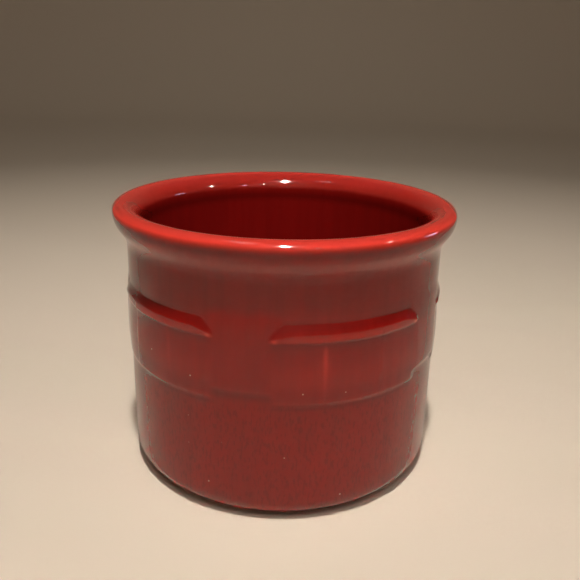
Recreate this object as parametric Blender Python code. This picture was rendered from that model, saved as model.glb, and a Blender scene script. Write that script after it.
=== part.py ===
"""A glazed stoneware salt crock with a rolled lip and one woven band in low relief.

The crock is one fired piece, turned about +Z, and it stands on the plane Z = 0. Its band is a flat weaver
that passes in front of one upright stake and behind the next. A stake that the weaver passes behind is
centred on -Y. Lengths are in metres.
"""

import math

import bmesh
import bpy

# The body. The wall widens by the flare from the neck down to the heel.
CROCK_HEIGHT = 0.0900
WALL_THICKNESS = 0.0047
HEEL_FLARE = 0.0003
FLOOR_HEIGHT = 0.0062
INNER_HEEL_ROUND = 0.0085
OUTER_HEEL_ROUND = 0.0075

# The rolled lip. It overhangs the neck, and the drop is the height of the hollow curve under it.
LIP_RADIUS = 0.0570
LIP_OVERHANG = 0.0041
LIP_OUTER_ROUND = 0.0025
LIP_INNER_ROUND = 0.0060
LIP_DROP = 0.0130

# The foot ring and the recess that it stands round.
FOOT_RING_WIDTH = 0.0038
FOOT_RECESS_DEPTH = 0.0014
FOOT_RECESS_SLOPE = 0.0016

# The woven band. The shoulder is the plain wall between the neck and the band.
SHOULDER_HEIGHT = 0.0063
BAND_HEIGHT = 0.0300
BAND_RISE = 0.0009
FRONT_STAKE_WIDTH = 0.0172
HIDDEN_STAKE_WIDTH = 0.0181
HIDDEN_STAKE_RISE = 0.00016
STAKE_EDGE_WIDTH = 0.0026
CREASE_WIDTH = 0.0011
FRONT_STAKE_COUNT = 5

# The ridge along the weaver's upper edge droops where the weaver goes behind a front stake, and above the
# ridge the stake spreads by the slit end's reach, which rounds the ends of the slit over the weaver.
RIDGE_DROOP = 0.0012
RIDGE_DROOP_REACH = 0.0070
SLIT_END_REACH = 0.0032

# The weaver's section, from the band's top to its foot: each corner's place down the band, how far the
# weaver stands out there, and how far the corner goes with the ridge.
WEAVER_SHARES = (
    (0.000, 0.00, 0.0),
    (0.045, 0.00, 0.0),
    (0.090, 0.00, 0.0),
    (0.140, 0.45, 0.5),
    (0.190, 1.00, 1.0),
    (0.228, 1.00, 0.5),
    (0.263, 0.92, 0.0),
    (0.285, 0.58, 0.0),
    (0.357, 0.46, 0.0),
    (0.473, 0.67, 0.0),
    (0.607, 0.84, 0.0),
    (0.707, 0.84, 0.0),
    (0.787, 0.76, 0.0),
    (0.827, 0.70, 0.0),
    (0.860, 0.64, 0.0),
    (0.893, 0.50, 0.0),
    (0.933, 0.20, 0.0),
    (0.967, 0.05, 0.0),
    (1.000, 0.00, 0.0),
)
# A front stake's section, which has no ridge: each corner's place and how far the stake stands out there.
STAKE_SHARES = (
    (0.000, 0.00),
    (0.040, 0.07),
    (0.100, 0.30),
    (0.187, 0.54),
    (0.280, 0.64),
    (0.473, 0.80),
    (0.607, 0.90),
    (0.707, 0.91),
    (0.787, 0.82),
    (0.827, 0.34),
    (0.860, 0.12),
    (0.933, 0.02),
    (1.000, 0.00),
)
# The places where the slit over the weaver starts and where its ends reach the front stakes' edges.
SLIT_TOP_SHARE = 0.090
SLIT_FOOT_SHARE = 0.228
# Towards a front stake the weaver sinks a little, and its ridge stands out a little more.
WEAVER_END_SHARE = 0.86
RIDGE_END_SHARE = 1.12

# How finely the curves are cut.
LIP_INNER_STEPS = 6
LIP_OUTER_STEPS = 4
OGEE_STEPS = 3
OUTER_HEEL_STEPS = 5
INNER_HEEL_STEPS = 4
WEAVER_SLOPE_STEPS = 3

NECK_RADIUS = LIP_RADIUS - LIP_OVERHANG
HEEL_WALL_RADIUS = NECK_RADIUS + HEEL_FLARE
BORE_RADIUS = NECK_RADIUS - WALL_THICKNESS
FOOT_RADIUS = HEEL_WALL_RADIUS - OUTER_HEEL_ROUND
LIP_WIDEST_HEIGHT = CROCK_HEIGHT - LIP_OUTER_ROUND
NECK_HEIGHT = LIP_WIDEST_HEIGHT - LIP_DROP
BAND_TOP = NECK_HEIGHT - SHOULDER_HEIGHT

GLAZE_COLOR = (0.150, 0.010, 0.008, 1.0)
GLAZE_ROUGHNESS = 0.10
GLAZE_COAT_WEIGHT = 1.0
CLAY_COLOR = (0.560, 0.450, 0.330, 1.0)
CLAY_ROUGHNESS = 0.85
SHARP_ANGLE = math.radians(35.0)

Outline = list[tuple[float, float]]


def clear_scene() -> None:
    """Remove every object of the open file."""
    for item in list(bpy.data.objects):
        bpy.data.objects.remove(item, do_unlink=True)


def smooth_step(start: float, end: float, value: float) -> float:
    """Return 0 before start, 1 after end and a smooth rise between them."""
    share = min(max((value - start) / (end - start), 0.0), 1.0)
    return share * share * (3.0 - 2.0 * share)


def arc(center: tuple[float, float], radius: float, start: float, end: float, steps: int) -> Outline:
    """Return the points of an arc in the section plane, its angles in degrees from +radius."""
    points = []
    for step in range(steps + 1):
        angle = math.radians(start + (end - start) * step / steps)
        points.append((center[0] + radius * math.cos(angle), center[1] + radius * math.sin(angle)))
    return points


def wall_radius(height: float) -> float:
    """Return the plain outer wall's radius, which widens evenly from the neck down to the heel."""
    share = (NECK_HEIGHT - height) / (NECK_HEIGHT - OUTER_HEEL_ROUND)
    return NECK_RADIUS + HEEL_FLARE * share


def lip_ogee() -> Outline:
    """Return the lip's outer underside: a full curve and a hollow one of equal radius that meet halfway."""
    sweep = 2.0 * math.atan2(LIP_OVERHANG, LIP_DROP)
    radius = LIP_DROP / (2.0 * math.sin(sweep))
    turn = math.degrees(sweep)
    full = arc((LIP_RADIUS - radius, LIP_WIDEST_HEIGHT), radius, 0.0, -turn, OGEE_STEPS)
    hollow = arc((NECK_RADIUS + radius, NECK_HEIGHT), radius, 180.0 - turn, 180.0, OGEE_STEPS)
    return full + hollow[1:]


def inner_outline() -> Outline:
    """Return the bowl's half section, from the floor's edge up to the crest of the lip."""
    floor_round = min(INNER_HEEL_ROUND, BORE_RADIUS)
    inner_round = min(LIP_INNER_ROUND, LIP_RADIUS - LIP_OUTER_ROUND - BORE_RADIUS)
    floor_center = (BORE_RADIUS - floor_round, FLOOR_HEIGHT + floor_round)
    lip_center = (BORE_RADIUS + inner_round, CROCK_HEIGHT - inner_round)
    floor_curve = arc(floor_center, floor_round, -90.0, 0.0, INNER_HEEL_STEPS)
    return floor_curve + arc(lip_center, inner_round, 180.0, 90.0, LIP_INNER_STEPS)


def foot_outline() -> Outline:
    """Return the half section below the wall: the rounded heel, the foot ring and the recess's edge."""
    heel = arc((FOOT_RADIUS, OUTER_HEEL_ROUND), OUTER_HEEL_ROUND, 0.0, -90.0, OUTER_HEEL_STEPS)
    ring_inner = FOOT_RADIUS - FOOT_RING_WIDTH
    return heel + [(ring_inner, 0.0), (ring_inner - FOOT_RECESS_SLOPE, FOOT_RECESS_DEPTH)]


def turn_of(length: float) -> float:
    """Return the angle that a length round the wall spans, in radians."""
    return length / NECK_RADIUS


def weave_turn(azimuth: float) -> float:
    """Return how far an azimuth is from the nearest front stake's centre, in radians."""
    period = 2.0 * math.pi / FRONT_STAKE_COUNT
    return abs((azimuth + period / 2.0) % period - period / 2.0)


def stake_share(place: float) -> float:
    """Return how far a front stake stands out at a place down the band, as a share of the rise."""
    for (above, upper), (below, lower) in zip(STAKE_SHARES, STAKE_SHARES[1:]):
        if place <= below:
            return upper + (lower - upper) * (place - above) / (below - above)
    return STAKE_SHARES[-1][1]


def front_share(place_share: float, turn: float) -> float:
    """Return 1 on a front stake and 0 on the weaver, at a place down the band and an angle from the stake."""
    half_edge = turn_of(STAKE_EDGE_WIDTH) / 2.0
    spread_share = (SLIT_FOOT_SHARE - place_share) / (SLIT_FOOT_SHARE - SLIT_TOP_SHARE)
    spread_share = min(max(spread_share, 0.0), 1.0)
    edge = turn_of(FRONT_STAKE_WIDTH) / 2.0 + turn_of(SLIT_END_REACH) * spread_share * spread_share
    return 1.0 - smooth_step(edge - half_edge, edge + half_edge, turn)


def weaver_rise(weaver_share: float, ridge_share: float, turn: float) -> float:
    """Return how far one corner of the weaver stands out, at an angle from a front stake's centre."""
    half_crease = turn_of(CREASE_WIDTH) / 2.0
    stake_edge = turn_of(FRONT_STAKE_WIDTH) / 2.0
    crease = math.pi / FRONT_STAKE_COUNT - turn_of(HIDDEN_STAKE_WIDTH) / 2.0
    climb = min((turn - stake_edge) / (crease - stake_edge), 1.0)
    end_share = WEAVER_END_SHARE + (RIDGE_END_SHARE - WEAVER_END_SHARE) * ridge_share
    over_stake = smooth_step(crease - half_crease, crease + half_crease, turn) * (1.0 - ridge_share)
    depth = BAND_RISE * (end_share + (1.0 - end_share) * climb) + HIDDEN_STAKE_RISE * over_stake
    return depth * weaver_share


def band_outline(azimuth: float) -> Outline:
    """Return the band's points at one azimuth, from its top to its foot."""
    turn = weave_turn(azimuth)
    stake_edge = turn_of(FRONT_STAKE_WIDTH) / 2.0
    droop = RIDGE_DROOP * (1.0 - smooth_step(stake_edge, stake_edge + turn_of(RIDGE_DROOP_REACH), turn))
    points = []
    for place_share, weaver_share, ridge_share in WEAVER_SHARES:
        depth = BAND_HEIGHT * place_share + droop * ridge_share
        stake = BAND_RISE * stake_share(depth / BAND_HEIGHT)
        front = front_share(place_share, turn)
        rise = front * stake + (1.0 - front) * weaver_rise(weaver_share, ridge_share, turn)
        height = BAND_TOP - depth
        points.append((wall_radius(height) + rise, height))
    return points


def section(azimuth: float) -> Outline:
    """Return the whole half section at one azimuth, from the inner floor's edge round to the recess."""
    lip_center = (LIP_RADIUS - LIP_OUTER_ROUND, LIP_WIDEST_HEIGHT)
    lip_outer = arc(lip_center, LIP_OUTER_ROUND, 90.0, 0.0, LIP_OUTER_STEPS)
    return inner_outline() + lip_outer + lip_ogee()[1:] + band_outline(azimuth) + foot_outline()


def weave_azimuths() -> list[float]:
    """Return the azimuths of the sections, with one at each edge and crease of the weave."""
    half_period = math.pi / FRONT_STAKE_COUNT
    half_edge = turn_of(STAKE_EDGE_WIDTH) / 2.0
    half_crease = turn_of(CREASE_WIDTH) / 2.0
    stake_edge = turn_of(FRONT_STAKE_WIDTH) / 2.0
    crease = half_period - turn_of(HIDDEN_STAKE_WIDTH) / 2.0
    slope_start = stake_edge + half_edge + turn_of(SLIT_END_REACH)
    slope_end = crease - half_crease
    stake_start = stake_edge - half_edge
    turns = [0.0, stake_start / 2.0, stake_start, stake_edge, stake_edge + half_edge]
    for step in range(WEAVER_SLOPE_STEPS + 1):
        turns.append(slope_start + (slope_end - slope_start) * step / WEAVER_SLOPE_STEPS)
    turns += [crease + half_crease, (crease + half_crease + half_period) / 2.0, half_period]
    mirrored = [2.0 * half_period - turn for turn in reversed(turns[1:-1])]
    azimuths = []
    for stake in range(FRONT_STAKE_COUNT):
        start = 2.0 * half_period * stake
        azimuths += [start + turn for turn in turns + mirrored]
    return azimuths


def make_material(name: str, color: tuple, roughness: float, coat_weight: float) -> bpy.types.Material:
    """Return a Principled material for one finish of the crock."""
    material = bpy.data.materials.new(name)
    material.use_nodes = True
    shader = material.node_tree.nodes["Principled BSDF"]
    shader.inputs["Base Color"].default_value = color
    shader.inputs["Roughness"].default_value = roughness
    shader.inputs["Metallic"].default_value = 0.0
    shader.inputs["Coat Weight"].default_value = coat_weight
    material.diffuse_color = color
    return material


def add_rings(mesh: bmesh.types.BMesh) -> list[list[bmesh.types.BMVert]]:
    """Add the points of every section, with 0 radians at -Y, and return them section by section."""
    columns = []
    for azimuth in weave_azimuths():
        column = []
        for radius, height in section(azimuth):
            place = (radius * math.sin(azimuth), -radius * math.cos(azimuth), height)
            column.append(mesh.verts.new(place))
        columns.append(column)
    return columns


def loft_crock() -> bmesh.types.BMesh:
    """Return the crock's closed skin, lofted round its sections and closed at both floors."""
    mesh = bmesh.new()
    columns = add_rings(mesh)
    last_row = len(columns[0]) - 1
    inner_center = mesh.verts.new((0.0, 0.0, FLOOR_HEIGHT))
    under_center = mesh.verts.new((0.0, 0.0, FOOT_RECESS_DEPTH))
    for column, following in zip(columns, columns[1:] + columns[:1]):
        for row in range(last_row):
            corners = (column[row], following[row], following[row + 1], column[row + 1])
            face = mesh.faces.new(corners)
            face.material_index = int(max(corner.co.z for corner in corners) == 0.0)
        mesh.faces.new((inner_center, following[0], column[0]))
        mesh.faces.new((under_center, column[last_row], following[last_row]))
    bmesh.ops.recalc_face_normals(mesh, faces=mesh.faces)
    return mesh


def build_crock() -> bpy.types.Object:
    """Build the crock and return its object."""
    skin = loft_crock()
    data = bpy.data.meshes.new("crock_body")
    skin.to_mesh(data)
    skin.free()
    data.materials.append(make_material("red_glaze", GLAZE_COLOR, GLAZE_ROUGHNESS, GLAZE_COAT_WEIGHT))
    data.materials.append(make_material("bare_clay", CLAY_COLOR, CLAY_ROUGHNESS, 0.0))
    data.shade_smooth()
    data.set_sharp_from_angle(angle=SHARP_ANGLE)
    crock = bpy.data.objects.new("crock_body", data)
    bpy.context.scene.collection.objects.link(crock)
    return crock


def main() -> None:
    """Build the part."""
    clear_scene()
    build_crock()


main()
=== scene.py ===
"""Dresses the salt crock: a fine glazed skin with its woven band, on a pale studio floor.

Lengths are in metres, in the part's own frame: +Z up, the foot ring on Z = 0, and the middle of one
front stake of the band at -Y.
"""

import logging
import math
from dataclasses import astuple, dataclass
from enum import Enum

import bpy
import numpy as np
from mathutils import Matrix, Vector


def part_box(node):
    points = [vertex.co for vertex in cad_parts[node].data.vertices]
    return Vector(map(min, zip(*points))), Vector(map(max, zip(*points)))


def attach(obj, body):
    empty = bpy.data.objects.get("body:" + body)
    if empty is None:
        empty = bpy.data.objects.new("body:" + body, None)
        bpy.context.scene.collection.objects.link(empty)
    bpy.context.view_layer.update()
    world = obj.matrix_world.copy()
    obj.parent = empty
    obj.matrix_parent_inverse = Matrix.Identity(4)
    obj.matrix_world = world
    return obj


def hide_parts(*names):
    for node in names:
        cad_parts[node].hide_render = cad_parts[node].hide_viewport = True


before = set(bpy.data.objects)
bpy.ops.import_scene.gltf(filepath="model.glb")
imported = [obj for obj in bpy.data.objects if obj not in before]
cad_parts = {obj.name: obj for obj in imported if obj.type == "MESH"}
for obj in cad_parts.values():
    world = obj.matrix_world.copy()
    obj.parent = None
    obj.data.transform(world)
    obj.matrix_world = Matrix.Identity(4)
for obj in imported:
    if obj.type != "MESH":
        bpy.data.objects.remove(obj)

LOG = logging.getLogger("salt_crock")
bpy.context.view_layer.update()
CROCK_NODE = "crock_body"

# The value about which a noise swings.
NOISE_MIDDLE = 0.5

# Where the colours stand among a Mix node's inputs and outputs.
MIX_LOW = 6
MIX_HIGH = 7
MIX_RESULT = 2

# A span is where a smooth rise begins and where it is complete. A stop is a value and how many values
# run from it to the next stop. A shade is a colour, or the socket that gives one.
Color = tuple[float, float, float, float]
Point2 = tuple[float, float]
Scale = tuple[float, float, float]
Span = tuple[float, float]
Stop = tuple[float, int]
Shade = bpy.types.NodeSocket | Color


class Coat(Enum):
    """The masks that the glaze's look follows, each stored on the mesh as a number per point. Two of them
    also carry painted highlight and painted shade.
    """

    THIN_AND_HIGHLIGHT = "thin_glaze"
    POOLED_AND_SHADE = "pooled_glaze"
    BARE = "bare_clay"


class Tool(Enum):
    """The ways that a number socket is worked on."""

    ADD = "ADD"
    SUBTRACT = "SUBTRACT"
    MULTIPLY = "MULTIPLY"
    MAXIMUM = "MAXIMUM"
    MINIMUM = "MINIMUM"


class Detail(Enum):
    """How many finer layers a noise has."""

    SMOOTH = 1.0
    CLOUDY = 2.0
    GRAINY = 3.0


def blend_step(start: float, end: float, value: float | np.ndarray) -> float | np.ndarray:
    """Return a smooth rise from 0 to 1.

    Args:
        start: The value at which the rise begins.
        end: The value at which it is complete.
        value: The value or values to place on it.

    Returns:
        A share from 0 to 1 for each value.
    """
    share = np.clip((value - start) / (end - start), 0.0, 1.0)
    return share * share * (3.0 - 2.0 * share)


def between(start: float, end: float, count: int) -> list[float]:
    """Return evenly spaced values from start to just before end.

    Args:
        start: The first value.
        end: The value that the run stops short of.
        count: How many values there are.

    Returns:
        The values in order.
    """
    return [start + (end - start) * step / count for step in range(count)]


def spaced(stops: list[Stop]) -> list[float]:
    """Return values spaced evenly from each stop to the next.

    Args:
        stops: The stops in order. The last one's value is left out.

    Returns:
        The values in order.
    """
    values: list[float] = []
    for (start, count), (end, _) in zip(stops, stops[1:]):
        values += between(start, end, count)
    return values


def around(azimuth: float, reach: float, height: float) -> Vector:
    """Return a point placed round the crock's axis, or the shift to it from a point on the axis.

    Args:
        azimuth: The angle from -Y towards +X, in degrees.
        reach: The distance from the axis.
        height: The height.

    Returns:
        The point or the shift.
    """
    turn = math.radians(azimuth)
    return Vector((reach * math.sin(turn), -reach * math.cos(turn), height))


def eased(corners: np.ndarray, values: np.ndarray, places: np.ndarray, reach: float) -> np.ndarray:
    """Return a polyline's values with its corners rounded.

    Args:
        corners: Where the polyline's corners are, rising.
        values: The polyline's value at each corner.
        places: Where it is read.
        reach: How far to each side the line is averaged.

    Returns:
        The rounded line's value at each place.
    """
    steps = 4
    total = np.zeros_like(places)
    for step in range(-steps, steps + 1):
        weight = (steps + 1 - abs(step)) / (steps + 1) ** 2
        total += weight * np.interp(places + reach * step / steps, corners, values)
    return total


class Value:
    """A number that varies over a surface, held as the socket that gives it."""

    def __init__(self, graph: "NodeGraph", socket: bpy.types.NodeSocket) -> None:
        """Keep the socket and the graph that it belongs to."""
        self.graph = graph
        self.socket = socket

    def worked(self, tool: Tool, first: "Value | float", second: "Value | float") -> "Value":
        """Return the result of a Math node.

        Args:
            tool: The operation.
            first: The first number or value.
            second: The second number or value.

        Returns:
            The node's result.
        """
        node = self.graph.node("ShaderNodeMath", {"operation": tool.value}, {0: first, 1: second})
        return Value(self.graph, node.outputs[0])

    def __add__(self, other: "Value | float") -> "Value":
        """Return self + other."""
        return self.worked(Tool.ADD, self, other)

    def __radd__(self, other: "Value | float") -> "Value":
        """Return other + self."""
        return self.worked(Tool.ADD, other, self)

    def __sub__(self, other: "Value | float") -> "Value":
        """Return self - other."""
        return self.worked(Tool.SUBTRACT, self, other)

    def __rsub__(self, other: "Value | float") -> "Value":
        """Return other - self."""
        return self.worked(Tool.SUBTRACT, other, self)

    def __mul__(self, other: "Value | float") -> "Value":
        """Return self * other."""
        return self.worked(Tool.MULTIPLY, self, other)

    def __rmul__(self, other: "Value | float") -> "Value":
        """Return other * self."""
        return self.worked(Tool.MULTIPLY, other, self)

    def clamped(self) -> "Value":
        """Return the value held between 0 and 1."""
        low = self.worked(Tool.MAXIMUM, self, 0.0)
        return self.worked(Tool.MINIMUM, low, 1.0)

    def ramped(self, start: float, end: float) -> "Value":
        """Return a smooth rise from 0 at start to 1 at end.

        Args:
            start: The value that gives 0.
            end: The value that gives 1.

        Returns:
            The risen value.
        """
        settings = {"interpolation_type": "SMOOTHSTEP", "clamp": True}
        inputs = {"Value": self, "From Min": start, "From Max": end, "To Min": 0.0, "To Max": 1.0}
        node = self.graph.node("ShaderNodeMapRange", settings, inputs)
        return Value(self.graph, node.outputs["Result"])


class NodeGraph:
    """Makes the nodes of one material or world."""

    def __init__(self, tree: bpy.types.NodeTree) -> None:
        """Keep the tree and empty it."""
        self.tree = tree
        tree.nodes.clear()

    def node(self, kind: str, settings: dict, inputs: dict) -> bpy.types.Node:
        """Make one node.

        Args:
            kind: The node's type.
            settings: Its properties, which are set first.
            inputs: Numbers, colours or links for its sockets, by name or place.

        Returns:
            The node.
        """
        made = self.tree.nodes.new(kind)
        for name, setting in settings.items():
            setattr(made, name, setting)
        for name, given in inputs.items():
            source = given.socket if isinstance(given, Value) else given
            if isinstance(source, bpy.types.NodeSocket):
                self.tree.links.new(source, made.inputs[name])
            else:
                made.inputs[name].default_value = source
        return made

    def value(self, kind: str, settings: dict, inputs: dict, output: str) -> Value:
        """Make one node and return one of its outputs as a value.

        Args:
            kind: The node's type.
            settings: Its properties.
            inputs: What its sockets get.
            output: The output's name.

        Returns:
            The output.
        """
        return Value(self, self.node(kind, settings, inputs).outputs[output])

    def mixed(self, share: Value, low: Shade, high: Shade) -> bpy.types.NodeSocket:
        """Return two colours mixed.

        Args:
            share: How much of the high colour shows, from 0 to 1.
            low: The colour at 0.
            high: The colour at 1.

        Returns:
            The mixed colour's socket.
        """
        settings = {"data_type": "RGBA", "clamp_factor": True}
        node = self.node("ShaderNodeMix", settings, {0: share, MIX_LOW: low, MIX_HIGH: high})
        return node.outputs[MIX_RESULT]

    def coat(self, coat: Coat) -> Value:
        """Return one of the mesh's stored masks."""
        return self.value("ShaderNodeAttribute", {"attribute_name": coat.value}, {}, "Fac")

    def noise(self, place: bpy.types.NodeSocket, scale: float, detail: Detail) -> Value:
        """Return noise.

        Args:
            place: The coordinate that it follows.
            scale: Its waves per unit of the coordinate.
            detail: How many finer layers it has.

        Returns:
            A value that swings about NOISE_MIDDLE.
        """
        inputs = {"Vector": place, "Scale": scale, "Detail": detail.value, "Roughness": 0.5}
        return self.value("ShaderNodeTexNoise", {"noise_dimensions": "3D"}, inputs, "Fac")


@dataclass(frozen=True)
class GlazeFinish:
    """The deep red gloss glaze: bright where it lies thin and where light and highlights are painted on the
    lip and the band, dark where it pools and where shade is painted.
    """

    body: Color = (0.240, 0.0062, 0.0046, 1.0)
    run: Color = (0.180, 0.0046, 0.0036, 1.0)
    # Painted reflection: dark flecks low on the wall stand in for a speckled floor mirrored in the glaze.
    painted_fleck_reflection: Color = (0.110, 0.0034, 0.0028, 1.0)
    # Bright colour of thin glaze on edges, also used as painted light: the up-facing lip is painted
    # brighter, and highlights are painted on the band and under the lip.
    thin_and_highlight: Color = (0.780, 0.0520, 0.0340, 1.0)
    # Dark colour of pooled glaze, also used as painted shade under the lip, in the slit, under the ridge
    # and at the band's feet.
    pooled_and_shade: Color = (0.060, 0.0018, 0.0016, 1.0)
    speck: Color = (0.520, 0.3000, 0.2500, 1.0)
    ior: float = 1.48
    roughness: float = 0.055
    roughness_swing: float = 0.035
    roughness_scale: float = 110.0
    cloud_scale: float = 55.0
    cloud_span: Span = (0.30, 0.75)
    cloud_share: float = 0.30
    run_scale: Scale = (330.0, 330.0, 26.0)
    run_span: Span = (0.38, 0.66)
    run_share: float = 0.28
    # The painted fleck reflection's noise, drawn out down the wall and kept low on the crock.
    painted_fleck_scale: Scale = (1400.0, 1400.0, 420.0)
    painted_fleck_span: Span = (0.50, 0.64)
    painted_fleck_share: float = 0.42
    painted_fleck_heights: Span = (0.0360, 0.0440)
    thin_and_highlight_scale: float = 165.0
    thin_and_highlight_swing: float = 0.16
    ripple_scale: float = 95.0
    ripple_height: float = 0.000035
    speck_scale: float = 200.0
    speck_size: Span = (0.033, 0.066)
    speck_rarity: Span = (0.42, 0.43)
    speck_share: float = 0.8
    speck_heights: Span = (0.0540, 0.0560)


@dataclass(frozen=True)
class ClayFinish:
    """The bare fired clay of the foot ring."""

    body: Color = (0.600, 0.470, 0.340, 1.0)
    grain: Color = (0.400, 0.280, 0.180, 1.0)
    roughness: float = 0.86
    grain_scale: float = 2600.0
    grain_span: Span = (0.45, 0.70)
    grain_height: float = 0.000060
    line_scale: float = 420.0
    line_span: Span = (0.46, 0.54)
    line_swing: float = 0.55


@dataclass(frozen=True)
class FloorFinish:
    """The pale warm paper of the studio floor and backdrop."""

    body: Color = (0.655, 0.562, 0.462, 1.0)
    roughness: float = 0.75


class CrockMaterial:
    """Builds the crock's one material: glaze all over, and bare clay on the foot ring."""

    def __init__(self, glaze: GlazeFinish, clay: ClayFinish) -> None:
        """Keep the two finishes."""
        self.glaze = glaze
        self.clay = clay

    def build(self) -> bpy.types.Material:
        """Return the material."""
        material = bpy.data.materials.new("red_glaze_over_stoneware")
        material.use_nodes = True
        graph = NodeGraph(material.node_tree)
        place = graph.node("ShaderNodeTexCoord", {}, {}).outputs["Object"]
        bare = self.bare_share(graph, place)
        inputs = {
            "Base Color": graph.mixed(bare, self.glaze_color(graph, place), self.clay_color(graph, place)),
            "Roughness": self.roughness(graph, place, bare),
            "Metallic": 0.0,
            "IOR": self.glaze.ior,
            "Normal": self.surface_normal(graph, place, bare),
        }
        shader = graph.node("ShaderNodeBsdfPrincipled", {}, inputs)
        graph.node("ShaderNodeOutputMaterial", {}, {"Surface": shader.outputs["BSDF"]})
        material.diffuse_color = self.glaze.body
        return material

    def bare_share(self, graph: NodeGraph, place: bpy.types.NodeSocket) -> Value:
        """Return where the clay is bare, with a slightly wandering glaze line.

        Args:
            graph: The material's graph.
            place: The object coordinate.

        Returns:
            1 on bare clay and 0 on glaze.
        """
        clay = self.clay
        wander = (graph.noise(place, clay.line_scale, Detail.CLOUDY) - NOISE_MIDDLE) * clay.line_swing
        return (graph.coat(Coat.BARE) + wander).ramped(*clay.line_span)

    def glaze_color(self, graph: NodeGraph, place: bpy.types.NodeSocket) -> bpy.types.NodeSocket:
        """Return the glaze's colour, with painted highlights, painted shade and a painted reflection of
        floor flecks in it.

        Args:
            graph: The material's graph.
            place: The object coordinate.

        Returns:
            The colour's socket.
        """
        glaze = self.glaze
        runs = self.streaks(graph, place, glaze.run_scale, glaze.run_span)
        clouds = graph.noise(place, glaze.cloud_scale, Detail.CLOUDY).ramped(*glaze.cloud_span)
        # Painted reflection: dark flecks low on the wall, where a speckled floor would be mirrored.
        painted_fleck_reflections = self.streaks(graph, place, glaze.painted_fleck_scale, glaze.painted_fleck_span)
        low = self.below(graph, place, glaze.painted_fleck_heights)
        darker = runs * glaze.run_share + clouds * glaze.cloud_share
        washed = graph.mixed(darker.clamped(), glaze.body, glaze.run)
        ground = graph.mixed(painted_fleck_reflections * low * glaze.painted_fleck_share, washed, glaze.painted_fleck_reflection)
        # Pooled glaze and painted shade darken the colour by the pooled mask.
        pooled_and_shade = graph.mixed(graph.coat(Coat.POOLED_AND_SHADE), ground, glaze.pooled_and_shade)
        # Thin glaze and painted highlight brighten the colour by the thin mask, which wanders a little.
        wander = (graph.noise(place, glaze.thin_and_highlight_scale, Detail.SMOOTH) - NOISE_MIDDLE) * glaze.thin_and_highlight_swing
        thin_and_highlight = (graph.coat(Coat.THIN_AND_HIGHLIGHT) * (1.0 + wander)).clamped()
        thinned_and_highlit = graph.mixed(thin_and_highlight, pooled_and_shade, glaze.thin_and_highlight)
        return graph.mixed(self.specks(graph, place), thinned_and_highlit, glaze.speck)

    def streaks(self, graph: NodeGraph, place: bpy.types.NodeSocket, scale: Scale, span: Span) -> Value:
        """Return noise that is drawn out down the wall.

        Args:
            graph: The material's graph.
            place: The object coordinate.
            scale: Its waves per metre along each axis.
            span: The noise that gives 0 and the noise that gives 1.

        Returns:
            A value from 0 to 1.
        """
        drawn = graph.node("ShaderNodeVectorMath", {"operation": "MULTIPLY"}, {0: place, 1: scale})
        return graph.noise(drawn.outputs[0], 1.0, Detail.CLOUDY).ramped(*span)

    def below(self, graph: NodeGraph, place: bpy.types.NodeSocket, heights: Span) -> Value:
        """Return which part of the crock is low.

        Args:
            graph: The material's graph.
            place: The object coordinate.
            heights: The height up to which the value is 1, and the height at which it reaches 0.

        Returns:
            1 low on the crock and 0 higher up.
        """
        return 1.0 - graph.value("ShaderNodeSeparateXYZ", {}, {0: place}, "Z").ramped(*heights)

    def specks(self, graph: NodeGraph, place: bpy.types.NodeSocket) -> Value:
        """Return the few tiny pale pinholes low in the glaze.

        Args:
            graph: The material's graph.
            place: The object coordinate.

        Returns:
            Above 0 at a pinhole and 0 elsewhere.
        """
        glaze = self.glaze
        inputs = {"Vector": place, "Scale": glaze.speck_scale, "Randomness": 1.0}
        cells = graph.node("ShaderNodeTexVoronoi", {"feature": "F1", "distance": "EUCLIDEAN"}, inputs)
        near = 1.0 - Value(graph, cells.outputs["Distance"]).ramped(*glaze.speck_size)
        chosen = graph.value("ShaderNodeSeparateColor", {}, {"Color": cells.outputs["Color"]}, "Red")
        low = self.below(graph, place, glaze.speck_heights)
        return near * low * chosen.ramped(*glaze.speck_rarity) * glaze.speck_share

    def clay_color(self, graph: NodeGraph, place: bpy.types.NodeSocket) -> bpy.types.NodeSocket:
        """Return the bare clay's colour.

        Args:
            graph: The material's graph.
            place: The object coordinate.

        Returns:
            The colour's socket.
        """
        grain = graph.noise(place, self.clay.grain_scale, Detail.GRAINY).ramped(*self.clay.grain_span)
        return graph.mixed(grain, self.clay.body, self.clay.grain)

    def roughness(self, graph: NodeGraph, place: bpy.types.NodeSocket, bare: Value) -> Value:
        """Return the surface's roughness.

        Args:
            graph: The material's graph.
            place: The object coordinate.
            bare: Where the clay is bare.

        Returns:
            The roughness.
        """
        glaze = self.glaze
        swing = graph.noise(place, glaze.roughness_scale, Detail.CLOUDY) * glaze.roughness_swing
        gloss = swing + glaze.roughness
        return gloss + (self.clay.roughness - gloss) * bare

    def surface_normal(self, graph: NodeGraph, place: bpy.types.NodeSocket,
                       bare: Value) -> bpy.types.NodeSocket:
        """Return the glaze's faint ripple and the clay's grain as a normal.

        Args:
            graph: The material's graph.
            place: The object coordinate.
            bare: Where the clay is bare.

        Returns:
            The normal's socket.
        """
        ripple = graph.noise(place, self.glaze.ripple_scale, Detail.SMOOTH) * self.glaze.ripple_height
        grain = graph.noise(place, self.clay.grain_scale, Detail.GRAINY) * self.clay.grain_height
        height = ripple * (1.0 - bare) + grain * bare
        inputs = {"Strength": 1.0, "Distance": 1.0, "Height": height}
        return graph.node("ShaderNodeBump", {}, inputs).outputs["Normal"]


@dataclass
class Row:
    """One ring of the crock's skin, before the woven band lifts it.

    Its coat says how thin the glaze lies and how much painted light it gets, and below 0 how deep the glaze
    pools and how much painted shade it gets. Bare is 1 on unglazed clay.
    """

    radius: float
    height: float
    band: bool = False
    coat: float = 0.0
    bare: float = 0.0


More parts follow.
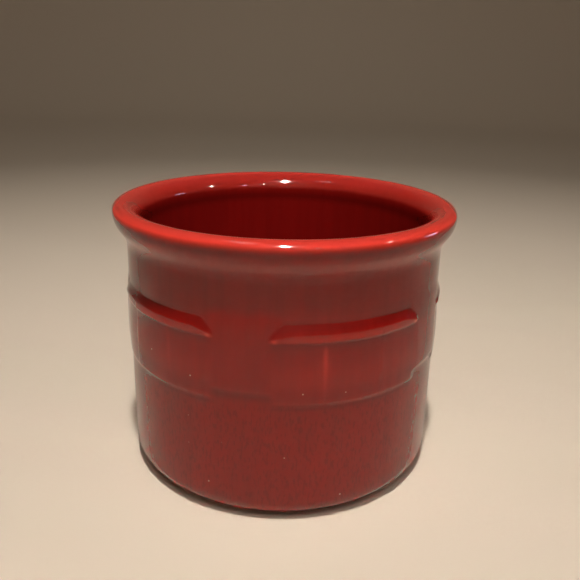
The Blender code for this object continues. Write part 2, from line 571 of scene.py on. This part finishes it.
@dataclass(frozen=True)
class Corner:
    """One corner of the band's section.

    The place is a share of the band's height, down from its top, and out is a share of its rise. Ridge says
    how far the corner goes with the ridge, and coat how thin the glaze lies there with painted highlight,
    or below 0 how deep it pools with painted shade.
    """

    place: float
    out: float
    ridge: float = 0.0
    coat: float = 0.0


def as_columns(corners: tuple[Corner, ...]) -> list[np.ndarray]:
    """Return the corners' places, outs, ridges and coats, each as one array."""
    return [np.array(column) for column in zip(*map(astuple, corners))]


@dataclass(frozen=True)
class Relief:
    """The band's relief down one column of the skin: each point's depth, lift and coat, the coat holding
    painted highlight and shade.
    """

    depths: np.ndarray
    lifts: np.ndarray
    coats: np.ndarray


@dataclass(frozen=True)
class WovenBand:
    """The band's relief: a flat weaver that passes in front of and behind upright stakes.

    The weaver's top has a slit and a ridge below it. Shares are of the band's height, down from its top.
    The coats paint highlights on the ridge and the feet, and shade in the slit, under the ridge and at the
    feet.
    """

    top: float
    height: float = 0.0300
    rise: float = 0.0009
    front_stake_width: float = 0.0172
    hidden_stake_width: float = 0.0181
    hidden_stake_rise: float = 0.00016
    crease_width: float = 0.0011
    # Painted highlights, partly thin glaze: on the creases over the hidden stakes' edges, stronger on one
    # side, and on the ridge's ends.
    crease_highlights: tuple[float, float] = (0.34, 0.08)
    crease_reach: float = 0.0008
    crease_top_fade: float = 0.04
    crease_foot_start: float = 0.10
    ridge_end_highlight: float = 0.50
    ridge_end_reach: float = 0.0010
    ridge_top_fade: float = 0.05
    ridge_foot_fade: float = 0.03
    front_stakes: int = 5
    ridge_droop: float = 0.0012
    ridge_droop_reach: float = 0.0070
    weaver_end_rise: float = 0.86
    ridge_end_rise: float = 1.12
    weaver_ease: float = 0.00036
    stake_ease: float = 0.0008
    slit_edge_width: float = 0.0015
    stake_edge_width: float = 0.0034
    slit_end_reach: float = 0.0032
    slit_top_share: float = 0.087
    slit_foot_share: float = 0.227
    ridge_foot_share: float = 0.300
    weaver_foot_share: float = 0.860
    stake_columns: int = 6
    stake_edge_columns: int = 16
    weaver_columns: int = 6
    crease_columns: int = 9
    hidden_stake_columns: int = 7
    # Coats above 0 paint highlights, partly thin glaze, on the ridge and at the weaver's foot; below 0 they
    # paint shade, partly pooled glaze, in the slit, under the ridge and in the step at the foot.
    weaver: tuple[Corner, ...] = (
        Corner(0.000, 0.00), Corner(0.045, 0.00), Corner(0.090, 0.00, 0.0, -0.20),
        Corner(0.140, 0.45, 0.5, -0.18), Corner(0.190, 1.00, 1.0, 0.07), Corner(0.228, 1.00, 0.5, 0.22),
        Corner(0.263, 0.92, 0.0, 0.25), Corner(0.285, 0.58, 0.0, -0.30), Corner(0.357, 0.46, 0.0, -0.10),
        Corner(0.473, 0.67), Corner(0.607, 0.84, 0.0, 0.05), Corner(0.707, 0.84, 0.0, 0.05),
        Corner(0.787, 0.76), Corner(0.827, 0.71), Corner(0.860, 0.66), Corner(0.893, 0.59, 0.0, 0.05),
        Corner(0.907, 0.54, 0.0, 0.08), Corner(0.937, 0.13, 0.0, -0.05), Corner(0.967, 0.03, 0.0, -0.28),
        Corner(1.000, 0.00),
    )
    # Below 0, painted shade, partly pooled glaze, marks the stake's foot.
    stake: tuple[Corner, ...] = (
        Corner(0.000, 0.00), Corner(0.040, 0.07), Corner(0.100, 0.30), Corner(0.187, 0.54),
        Corner(0.280, 0.64), Corner(0.473, 0.80), Corner(0.607, 0.90), Corner(0.707, 0.91),
        Corner(0.770, 0.86), Corner(0.795, 0.78, 0.0, 0.10), Corner(0.835, 0.26, 0.0, -0.25),
        Corner(0.870, 0.10, 0.0, -0.25), Corner(0.920, 0.02), Corner(1.000, 0.00),
    )

    def half_period(self, radius: float) -> float:
        """Return the length round the wall from a front stake's middle to a hidden stake's."""
        return math.pi * radius / self.front_stakes

    def across(self, azimuth: float, radius: float) -> float:
        """Return how far round the wall an azimuth lies from the nearest front stake's middle.

        Args:
            azimuth: The angle from -Y, in radians.
            radius: The wall's radius.

        Returns:
            The length, which is below 0 on the stake's other side.
        """
        half = self.half_period(radius)
        return (azimuth * radius + half) % (2.0 * half) - half

    def front_shares(self, places: np.ndarray, across: float) -> np.ndarray:
        """Return how far the front stake stands in place of the weaver.

        Above the ridge the stake's edge swings out, which rounds the ends of the slit over the weaver.

        Args:
            places: The places down the band.
            across: The length round the wall from the stake's middle.

        Returns:
            1 on the stake and 0 on the weaver, for each place.
        """
        slit_share = self.slit_foot_share - self.slit_top_share
        slit = np.clip((self.slit_foot_share - places) / slit_share, 0.0, 1.0)
        edges = self.front_stake_width / 2.0 + self.slit_end_reach * slit * slit
        widths = (self.slit_edge_width, self.stake_edge_width)
        reaches = np.interp(places, (self.slit_foot_share, self.ridge_foot_share), widths) / 2.0
        return 1.0 - blend_step(0.0, 1.0, (across - edges + reaches) / (2.0 * reaches))

    def crease_and_ridge_end_highlights_at(self, places: np.ndarray, across: float, radius: float) -> np.ndarray:
        """Return the painted highlight, partly thin glaze, on the crease over a hidden stake's edge and on
        the ridge's two ends.

        Args:
            places: The places down the band.
            across: The length round the wall from the front stake's middle, signed.
            radius: The wall's radius.

        Returns:
            The coat for each place.
        """
        past = abs(across) - (self.half_period(radius) - self.hidden_stake_width / 2.0)
        near = math.exp(-(past / self.crease_reach) ** 2)
        foot = self.ridge_foot_share
        fade = blend_step(foot, foot + self.crease_top_fade, places)
        fade = fade * (1.0 - blend_step(foot + self.crease_foot_start, self.weaver_foot_share, places))
        past_stake = abs(across) - self.front_stake_width / 2.0 - self.ridge_end_reach
        at_end = math.exp(-(past_stake / self.ridge_end_reach) ** 2)
        on_ridge = blend_step(self.slit_foot_share - self.ridge_top_fade, self.slit_foot_share, places)
        on_ridge = on_ridge * (1.0 - blend_step(foot - self.ridge_foot_fade, foot, places))
        crease_highlight = self.crease_highlights[0 if across > 0.0 else 1]
        return crease_highlight * near * fade + self.ridge_end_highlight * at_end * on_ridge

    def relief(self, places: np.ndarray, azimuth: float, radius: float) -> Relief:
        """Return the relief down one column of the skin.

        Args:
            places: The places down the band, as shares of its height.
            azimuth: The angle from -Y, in radians.
            radius: The wall's radius.

        Returns:
            The column's relief.
        """
        signed = self.across(azimuth, radius)
        across = abs(signed)
        stake_edge = self.front_stake_width / 2.0
        crease = self.half_period(radius) - self.hidden_stake_width / 2.0
        level = blend_step(stake_edge, stake_edge + self.ridge_droop_reach, across)
        droop = self.ridge_droop * (1.0 - level)
        climb = min(max((across - stake_edge) / (crease - stake_edge), 0.0), 1.0)
        over = blend_step(crease - self.crease_width / 2.0, crease + self.crease_width / 2.0, across)
        corners, outs, ridges, corner_coats = as_columns(self.weaver)
        ends = self.weaver_end_rise + (self.ridge_end_rise - self.weaver_end_rise) * ridges
        over_rise = self.hidden_stake_rise * over * (1.0 - ridges)
        weaver_outs = (self.rise * (ends + (1.0 - ends) * climb) + over_rise) * outs
        ease = self.weaver_ease / self.height
        weaver = eased(corners, weaver_outs, places, ease)
        weaver_coat = eased(corners, corner_coats, places, ease)
        weaver_coat = weaver_coat + self.crease_and_ridge_end_highlights_at(places, signed, radius)
        depths = places * self.height + droop * np.interp(places, corners, ridges)
        corners, outs, _, corner_coats = as_columns(self.stake)
        ease = self.stake_ease / self.height
        stake = self.rise * eased(corners, outs, depths / self.height, ease)
        stake_coat = eased(corners, corner_coats, depths / self.height, ease)
        front = self.front_shares(places, across)
        return Relief(depths, front * stake + (1.0 - front) * weaver,
                      front * stake_coat + (1.0 - front) * weaver_coat)

    def azimuths(self, radius: float) -> list[float]:
        """Return the azimuths of the skin's columns, close together where stakes have edges.

        Args:
            radius: The wall's radius.

        Returns:
            The azimuths round the crock, in radians.
        """
        half = self.half_period(radius)
        stake_edge = self.front_stake_width / 2.0
        start = stake_edge - self.stake_edge_width / 2.0
        end = stake_edge + self.slit_end_reach + self.slit_edge_width / 2.0
        crease = half - self.hidden_stake_width / 2.0
        turns = spaced([
            (0.0, self.stake_columns), (start, self.stake_edge_columns), (end, self.weaver_columns),
            (crease - self.crease_width, self.crease_columns),
            (crease + self.crease_width, self.hidden_stake_columns), (half, 0),
        ])
        whole = turns + [half] + [2.0 * half - turn for turn in reversed(turns[1:])]
        periods = [2.0 * half * stake for stake in range(self.front_stakes)]
        return [(period + turn) / radius for period in periods for turn in whole]


@dataclass(frozen=True)
class RowCounts:
    """How many rows the skin has along each stretch of its section.

    The band's stops are given as shares of its height, down from its top.
    """

    bowl_floor: int = 4
    inner_heel: int = 10
    inner_wall: int = 3
    upper_inner_wall: int = 8
    inner_lip: int = 18
    crest: int = 3
    outer_lip: int = 14
    hollow_arc: int = 10
    hollow_slope: int = 3
    neck: int = 2
    shoulder: int = 8
    band: tuple[Stop, ...] = ((0.00, 5), (0.08, 40), (0.30, 16), (0.76, 30))
    lower_wall: int = 12
    outer_heel: int = 14
    foot_ring: int = 5
    recess_slope: int = 4
    recess: int = 3


@dataclass
class Crock:
    """The fired crock: its sizes, its skin and its finish."""

    height: float
    lip_radius: float
    lip_overhang: float = 0.0041
    heel_flare: float = 0.0003
    wall_thickness: float = 0.0047
    floor_height: float = 0.0062
    inner_heel_round: float = 0.0085
    outer_heel_round: float = 0.0075
    lip_outer_round: float = 0.0025
    lip_inner_round: float = 0.0060
    lip_drop: float = 0.0130
    hollow_drop: float = 0.0110
    hollow_tilt: float = 35.0
    foot_ring_width: float = 0.0038
    foot_recess_depth: float = 0.0014
    foot_recess_slope: float = 0.0016
    shoulder_height: float = 0.0063
    upper_inner_wall_height: float = 0.0760
    innermost_share: float = 0.125
    floor_pool: float = 0.5
    bare_edge: Span = (0.75, 1.30)
    # Inside: the lip's round is brighter, partly thin glaze and partly painted light from above; a darker
    # band lies about 8.5 mm below the crest.
    inside_coats: tuple[Point2, ...] = (
        (0.0000, 0.45), (0.0003, 0.39), (0.0010, 0.27), (0.0045, 0.29), (0.0056, 0.08), (0.0065, 0.00),
        (0.0085, -0.60), (0.0112, 0.00),
    )
    # Outside: the lip's round is brighter, partly thin glaze and partly painted light from above; painted
    # shade lies just under the widest point, and a faint painted highlight in the hollow below.
    outside_coats: tuple[Point2, ...] = (
        (0.0000, 0.47), (0.0003, 0.60), (0.0013, 1.00), (0.0020, 0.60), (0.0025, 0.30), (0.0031, 0.00),
        (0.0041, -0.30), (0.0052, 0.02), (0.0080, 0.10), (0.0115, 0.00),
    )
    glaze: GlazeFinish = GlazeFinish()
    clay: ClayFinish = ClayFinish()
    counts: RowCounts = RowCounts()

    def __post_init__(self) -> None:
        """Work out the heights and radii that follow from the sizes."""
        self.neck_radius = self.lip_radius - self.lip_overhang
        self.heel_wall_radius = self.neck_radius + self.heel_flare
        self.widest = self.height - self.lip_outer_round
        self.neck = self.widest - self.lip_drop
        self.bore = self.neck_radius - self.wall_thickness
        self.band = WovenBand(top=self.neck - self.shoulder_height)

    def wall(self, height: float | np.ndarray) -> float | np.ndarray:
        """Return the plain outer wall's radius at a height or at each of some heights."""
        share = (self.neck - height) / (self.neck - self.outer_heel_round)
        return self.neck_radius + self.heel_flare * share

    def curve(self, center: Point2, radius: float, start: float, end: float, count: int) -> list[Row]:
        """Return rows along an arc of the section.

        Args:
            center: The arc's centre as (radius, height).
            radius: The arc's radius.
            start: Its first angle in degrees, from outward.
            end: The angle that it stops short of.
            count: How many rows it has.

        Returns:
            The rows.
        """
        rows = []
        for angle in between(math.radians(start), math.radians(end), count):
            rows.append(Row(center[0] + radius * math.cos(angle), center[1] + radius * math.sin(angle)))
        return rows

    def straight(self, start: Point2, end: Point2, count: int) -> list[Row]:
        """Return rows along a straight stretch of the section.

        Args:
            start: Its first point as (radius, height).
            end: The point that it stops short of.
            count: How many rows it has.

        Returns:
            The rows.
        """
        radii = between(start[0], end[0], count)
        heights = between(start[1], end[1], count)
        return [Row(radius, height) for radius, height in zip(radii, heights)]

    def coat_at(self, height: float, coats: tuple[Point2, ...]) -> float:
        """Return the glaze's coat at a height.

        Args:
            height: The height over the foot ring.
            coats: Depths below the lip's crest, each with its coat.

        Returns:
            The coat.
        """
        depths, shares = zip(*coats)
        return float(np.interp(self.height - height, depths, shares))

    def inside(self) -> list[Row]:
        """Return the rows of the bowl, from near its middle up to the lip's crest."""
        counts = self.counts
        floor = self.floor_height
        floor_edge = self.bore - self.inner_heel_round
        innermost = floor_edge * self.innermost_share
        lip_center = (self.bore + self.lip_inner_round, self.height - self.lip_inner_round)
        heel_center = (floor_edge, floor + self.inner_heel_round)
        bend = (self.bore, self.upper_inner_wall_height)
        rows = self.straight((innermost, floor), (floor_edge, floor), counts.bowl_floor)
        rows += self.curve(heel_center, self.inner_heel_round, -90.0, 0.0, counts.inner_heel)
        rows += self.straight((self.bore, heel_center[1]), bend, counts.inner_wall)
        rows += self.straight(bend, (self.bore, lip_center[1]), counts.upper_inner_wall)
        rows += self.curve(lip_center, self.lip_inner_round, 180.0, 90.0, counts.inner_lip)
        for row in rows:
            row.coat = self.coat_at(row.height, self.inside_coats)
            row.coat -= self.floor_pool * (1.0 - blend_step(floor, heel_center[1], row.height))
        return rows

    def lip(self) -> list[Row]:
        """Return the rows of the lip's crest, outer round and hollow underside."""
        counts = self.counts
        outer = (self.lip_radius - self.lip_outer_round, self.widest)
        tilt = math.radians(self.hollow_tilt)
        slope = self.lip_overhang / math.tan(tilt / 2.0) - self.hollow_drop
        bend = (self.hollow_drop - slope * math.cos(tilt)) / (2.0 * math.sin(tilt))
        round_center = (self.lip_radius - bend, self.widest)
        hollow_center = (self.neck_radius + bend, self.widest - self.hollow_drop)
        slope_top = (round_center[0] + bend * math.cos(tilt), round_center[1] - bend * math.sin(tilt))
        slope_foot = (hollow_center[0] - bend * math.cos(tilt), hollow_center[1] + bend * math.sin(tilt))
        crest_start = (self.bore + self.lip_inner_round, self.height)
        neck_top = (self.neck_radius, hollow_center[1])
        rows = self.straight(crest_start, (outer[0], self.height), counts.crest)
        rows += self.curve(outer, self.lip_outer_round, 90.0, 0.0, counts.outer_lip)
        rows += self.curve(round_center, bend, 0.0, -self.hollow_tilt, counts.hollow_arc)
        rows += self.straight(slope_top, slope_foot, counts.hollow_slope)
        rows += self.curve(hollow_center, bend, 180.0 - self.hollow_tilt, 180.0, counts.hollow_arc)
        rows += self.straight(neck_top, (self.neck_radius, self.neck), counts.neck)
        for row in rows:
            row.coat = self.coat_at(row.height, self.outside_coats)
        return rows

    def outer_wall(self) -> list[Row]:
        """Return the rows from the neck to the heel, close together where the band has edges."""
        band = self.band
        stops = [(self.neck, self.counts.shoulder)]
        stops += [(band.top - band.height * place, count) for place, count in self.counts.band]
        stops += [(band.top - band.height, self.counts.lower_wall), (self.outer_heel_round, 0)]
        return [Row(self.wall(height), height, band=True) for height in spaced(stops)]

    def foot(self) -> list[Row]:
        """Return the rows of the heel, the foot ring and the recess."""
        counts = self.counts
        depth = self.foot_recess_depth
        heel_center = (self.heel_wall_radius - self.outer_heel_round, self.outer_heel_round)
        ring_inner = heel_center[0] - self.foot_ring_width
        ring_middle = heel_center[0] - self.foot_ring_width / 2.0
        recess_edge = ring_inner - self.foot_recess_slope
        rows = self.curve(heel_center, self.outer_heel_round, 0.0, -90.0, counts.outer_heel)
        rows += self.straight((heel_center[0], 0.0), (ring_inner, 0.0), counts.foot_ring)
        rows += self.straight((ring_inner, 0.0), (recess_edge, depth), counts.recess_slope)
        rows += self.straight((recess_edge, depth), (0.0, depth), counts.recess)
        for row in rows:
            if row.height < depth:
                off_ring = abs(row.radius - ring_middle) / (self.foot_ring_width / 2.0)
                row.bare = float(1.0 - blend_step(*self.bare_edge, off_ring))
        return rows

    def build(self) -> bpy.types.Object:
        """Build the crock's skin, dress it and return its object."""
        rows = self.inside() + self.lip() + self.outer_wall() + self.foot()
        azimuths = np.array(self.band.azimuths(self.neck_radius))
        radii = np.tile([row.radius for row in rows], (len(azimuths), 1))
        heights = np.tile([row.height for row in rows], (len(azimuths), 1))
        coats = np.tile([row.coat for row in rows], (len(azimuths), 1))
        bare = np.tile([row.bare for row in rows], (len(azimuths), 1))
        banded = np.array([row.band for row in rows])
        places = (self.band.top - heights[0][banded]) / self.band.height
        for column, azimuth in enumerate(azimuths):
            relief = self.band.relief(places, azimuth, self.neck_radius)
            heights[column][banded] = self.band.top - relief.depths
            radii[column][banded] = self.wall(heights[column][banded]) + relief.lifts
            coats[column][banded] = relief.coats
        sines, cosines = np.sin(azimuths)[:, None], np.cos(azimuths)[:, None]
        points = np.stack((radii * sines, -radii * cosines, heights), axis=2).reshape(-1, 3)
        middles = [(0.0, 0.0, self.floor_height), (0.0, 0.0, self.foot_recess_depth)]
        mesh = bpy.data.meshes.new("glazed_crock")
        mesh.from_pydata(points.tolist() + middles, [], self.faces(len(azimuths), len(rows), len(points)))
        masks = {
            Coat.THIN_AND_HIGHLIGHT: np.clip(coats, 0.0, 1.0),
            Coat.POOLED_AND_SHADE: np.clip(-coats, 0.0, 1.0),
            Coat.BARE: bare,
        }
        for coat, shares in masks.items():
            layer = mesh.attributes.new(coat.value, "FLOAT", "POINT")
            layer.data.foreach_set("value", np.append(shares.ravel(), [0.0] * len(middles)))
        mesh.shade_smooth()
        mesh.materials.append(CrockMaterial(self.glaze, self.clay).build())
        mesh.update()
        crock = bpy.data.objects.new("glazed_crock", mesh)
        bpy.context.scene.collection.objects.link(crock)
        return crock

    def faces(self, columns: int, rows: int, first_center: int) -> list[tuple[int, ...]]:
        """Return the skin's faces, each facing out.

        Args:
            columns: How many columns there are.
            rows: How many points a column has.
            first_center: The number of the bowl's middle point, which the underside's follows.

        Returns:
            The corner numbers of every face.
        """
        faces: list[tuple[int, ...]] = []
        for column in range(columns):
            here = column * rows
            there = (column + 1) % columns * rows
            faces.append((first_center, here, there))
            for row in range(rows - 1):
                faces.append((here + row, here + row + 1, there + row + 1, there + row))
            faces.append((first_center + 1, there + rows - 1, here + rows - 1))
        return faces


class LampUse(Enum):
    """What a lamp is for."""

    SOFT_LIGHT = "soft light"
    GLINT = "glint"


class LampTint(Enum):
    """The colours that a lamp may have."""

    WARM = (1.0, 0.95, 0.88)
    WHITE = (1.0, 1.0, 1.0)
    COOL = (0.55, 0.66, 1.0)


@dataclass(frozen=True)
class StudioLamp:
    """One lamp, placed by where it stands as seen from the point that it is turned to.

    A soft light lights surfaces and leaves no spot in the glaze. A glint only shows in the glaze.
    """

    name: str
    use: LampUse
    azimuth: float
    elevation: float
    distance: float
    width: float
    power: float
    length: float = 0.0
    spread: float = 180.0
    tint: LampTint = LampTint.WARM

    def build(self, aim: Vector) -> None:
        """Hang the lamp and turn it to its point.

        Args:
            aim: The point that it is turned to.
        """
        light = bpy.data.lights.new(self.name, "AREA")
        light.shape = "ELLIPSE" if self.length else "DISK"
        light.size = self.length or self.width
        light.size_y = self.width
        light.energy = self.power
        light.spread = math.radians(self.spread)
        light.color = self.tint.value
        lamp = bpy.data.objects.new(self.name, light)
        lamp.visible_glossy = self.use is LampUse.GLINT
        lamp.visible_diffuse = self.use is LampUse.SOFT_LIGHT
        lamp.visible_camera = False
        rise = math.radians(self.elevation)
        flat = self.distance * math.cos(rise)
        lamp.location = aim + around(self.azimuth, flat, self.distance * math.sin(rise))
        lamp.rotation_euler = (aim - lamp.location).to_track_quat("-Z", "Y").to_euler()
        bpy.context.scene.collection.objects.link(lamp)
        LOG.info("lamp %s, a %s", self.name, self.use.value)


@dataclass
class PhotoCamera:
    """The camera that stands where the photograph was taken from."""

    azimuth: float = 12.9
    distance: float = 0.2209
    height: float = 0.1350
    yaw: float = 0.01046
    pitch: float = 0.33905
    roll: float = 0.02338
    focal_pixels: float = 660.0
    image_pixels: float = 580.0
    sensor: float = 36.0
    near_clip: float = 0.005

    def build(self) -> None:
        """Make the camera and hand it to the scene."""
        data = bpy.data.cameras.new("photo_camera")
        data.sensor_width = self.sensor
        data.lens = self.focal_pixels / self.image_pixels * self.sensor
        data.clip_start = self.near_clip
        camera = bpy.data.objects.new("photo_camera", data)
        heading = math.radians(self.azimuth) - self.yaw
        forward = Vector((
            -math.sin(heading) * math.cos(self.pitch),
            math.cos(heading) * math.cos(self.pitch),
            -math.sin(self.pitch),
        ))
        level = forward.cross(Vector((0.0, 0.0, 1.0))).normalized()
        upright = level.cross(forward)
        right = level * math.cos(self.roll) + upright * math.sin(self.roll)
        up = upright * math.cos(self.roll) - level * math.sin(self.roll)
        place = around(self.azimuth, self.distance, self.height)
        axes = Matrix((right, up, -forward)).transposed()
        camera.matrix_world = Matrix.Translation(place) @ axes.to_4x4()
        bpy.context.scene.collection.objects.link(camera)
        bpy.context.scene.camera = camera
        LOG.info("camera at %s", tuple(round(value, 4) for value in place))


@dataclass
class Studio:
    """The round pale floor that sweeps up into a wall, the dim sky over it and the lamps."""

    heading: float
    key_shift: float = 0.040
    strip_aim_turn: float = -10.0
    strip_aim_reach: float = 0.055
    back_wall_power: float = 1.0
    front_wall_power: float = 5.0
    flat_radius: float = 1.30
    flat_rings: tuple[float, ...] = (0.1, 0.3, 0.6)
    sweep_radius: float = 0.50
    sweep_steps: int = 16
    wall_height: float = 1.60
    columns: int = 96
    sky_strength: float = 0.11
    sky_color: Color = (1.0, 0.93, 0.84, 1.0)
    finish: FloorFinish = FloorFinish()

    def floor_material(self) -> bpy.types.Material:
        """Return the floor's material."""
        material = bpy.data.materials.new("pale_paper")
        material.use_nodes = True
        graph = NodeGraph(material.node_tree)
        inputs = {
            "Base Color": self.finish.body,
            "Roughness": self.finish.roughness,
            "Specular IOR Level": 0.0,
        }
        shader = graph.node("ShaderNodeBsdfPrincipled", {}, inputs)
        graph.node("ShaderNodeOutputMaterial", {}, {"Surface": shader.outputs["BSDF"]})
        return material

    def build_floor(self) -> None:
        """Lay the round floor, whose edge sweeps up all round the crock."""
        outline = [(self.flat_radius * share, 0.0) for share in self.flat_rings]
        for angle in between(math.radians(-90.0), 0.0, self.sweep_steps):
            outline.append((
                self.flat_radius + self.sweep_radius * math.cos(angle),
                self.sweep_radius + self.sweep_radius * math.sin(angle),
            ))
        edge = self.flat_radius + self.sweep_radius
        outline += [(edge, self.sweep_radius), (edge, self.wall_height)]
        rows = len(outline)
        points = []
        faces: list[tuple[int, ...]] = []
        for column in range(self.columns):
            turn = 2.0 * math.pi * column / self.columns
            points += [(reach * math.sin(turn), -reach * math.cos(turn), rise) for reach, rise in outline]
            here, there = column * rows, (column + 1) % self.columns * rows
            faces += [(here + row, there + row, there + row + 1, here + row + 1) for row in range(rows - 1)]
            faces.append((self.columns * rows, there, here))
        mesh = bpy.data.meshes.new("studio_floor")
        mesh.from_pydata(points + [(0.0, 0.0, 0.0)], [], faces)
        mesh.shade_smooth()
        mesh.materials.append(self.floor_material())
        floor = bpy.data.objects.new("studio_floor", mesh)
        bpy.context.scene.collection.objects.link(floor)
        LOG.info("floor and backdrop")

    def build_sky(self) -> None:
        """Set the dim even light that comes from all round."""
        world = bpy.data.worlds.new("studio_sky")
        world.use_nodes = True
        bpy.context.scene.world = world
        graph = NodeGraph(world.node_tree)
        inputs = {"Color": self.sky_color, "Strength": self.sky_strength}
        shader = graph.node("ShaderNodeBackground", {}, inputs)
        graph.node("ShaderNodeOutputWorld", {}, {"Surface": shader.outputs["Background"]})
        LOG.info("sky")

    def build_lamps(self, aim: Vector) -> None:
        """Hang the soft lights and the lamps that only show in the glaze.

        Args:
            aim: The point that most of them are turned to.
        """
        soft, glint = LampUse.SOFT_LIGHT, LampUse.GLINT
        ahead = self.heading
        lamps = (
            StudioLamp("front_light", soft, azimuth=ahead + 1.0, elevation=58.0, distance=1.10,
                       width=0.45, power=0.56, spread=90.0),
            StudioLamp("side_light", soft, azimuth=ahead + 80.0, elevation=35.0, distance=1.20,
                       width=0.60, power=0.30, spread=90.0),
            StudioLamp("rear_light", soft, azimuth=ahead + 180.0, elevation=40.0, distance=1.30,
                       width=0.80, power=0.22, spread=90.0),
            StudioLamp("key_glint", glint, azimuth=ahead + 1.0, elevation=51.0, distance=1.10,
                       width=0.200, length=0.080, power=32.0),
            StudioLamp("key_halo", glint, azimuth=ahead + 1.0, elevation=50.0, distance=1.10,
                       width=0.550, length=0.070, power=6.0),
            StudioLamp("near_glint", glint, azimuth=ahead + 20.5, elevation=27.5, distance=1.30,
                       width=0.050, power=1.10),
            StudioLamp("small_glint", glint, azimuth=ahead + 38.0, elevation=22.5, distance=1.30,
                       width=0.050, power=0.60, tint=LampTint.COOL),
            StudioLamp("side_glint", glint, azimuth=ahead + 72.0, elevation=28.5, distance=1.30,
                       width=0.060, power=2.40),
            StudioLamp("window_glint", glint, azimuth=ahead + 103.0, elevation=5.0, distance=1.60,
                       width=0.12, length=0.40, power=2.00, tint=LampTint.COOL),
        )
        for lamp in lamps:
            lamp.build(aim)
        key = StudioLamp("key_light", soft, azimuth=ahead, elevation=76.4, distance=1.30,
                         width=0.05, power=1.14, spread=52.0)
        key.build(aim + around(ahead, self.key_shift, 0.0))
        strip = StudioLamp("strip_glint", glint, azimuth=ahead - 60.0, elevation=69.5, distance=0.35,
                           width=0.012, length=0.17, power=0.0052, spread=34.0, tint=LampTint.WHITE)
        strip.build(around(ahead + self.strip_aim_turn, self.strip_aim_reach, 2.0 * aim.z))
        self.build_wall_lamp("back_wall_light", ahead, self.back_wall_power)
        self.build_wall_lamp("front_wall_light", ahead + 180.0, self.front_wall_power)

    def build_wall_lamp(self, name: str, facing: float, power: float) -> None:
        """Hang a soft light close in front of one side of the backdrop, which it lights.

        Args:
            name: The lamp's name.
            facing: The azimuth that the lit side faces, in degrees.
            power: The lamp's power.
        """
        lamp = StudioLamp(name, LampUse.SOFT_LIGHT, azimuth=facing, elevation=50.0, distance=1.20,
                          width=0.80, power=power, spread=120.0)
        reach = self.flat_radius + self.sweep_radius
        lamp.build(around(facing + 180.0, reach, self.wall_height / 2.0))

    def build(self, aim: Vector) -> None:
        """Build the whole studio.

        Args:
            aim: The point that most of the lamps are turned to.
        """
        self.build_floor()
        self.build_sky()
        self.build_lamps(aim)


def main() -> None:
    """Build the dressed crock and its studio."""
    logging.basicConfig(level=logging.INFO)
    low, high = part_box(CROCK_NODE)
    crock = Crock(height=high[2] - low[2], lip_radius=(high[1] - low[1]) / 2.0)
    skin = crock.build()
    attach(skin, "root")
    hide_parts(CROCK_NODE)
    LOG.info("piece %s: %d faces", skin.name, len(skin.data.polygons))
    camera = PhotoCamera()
    camera.build()
    Studio(heading=camera.azimuth).build(Vector((0.0, 0.0, crock.height / 2.0)))
    bpy.context.scene.view_settings.view_transform = "Standard"


if __name__ == "__main__":
    main()
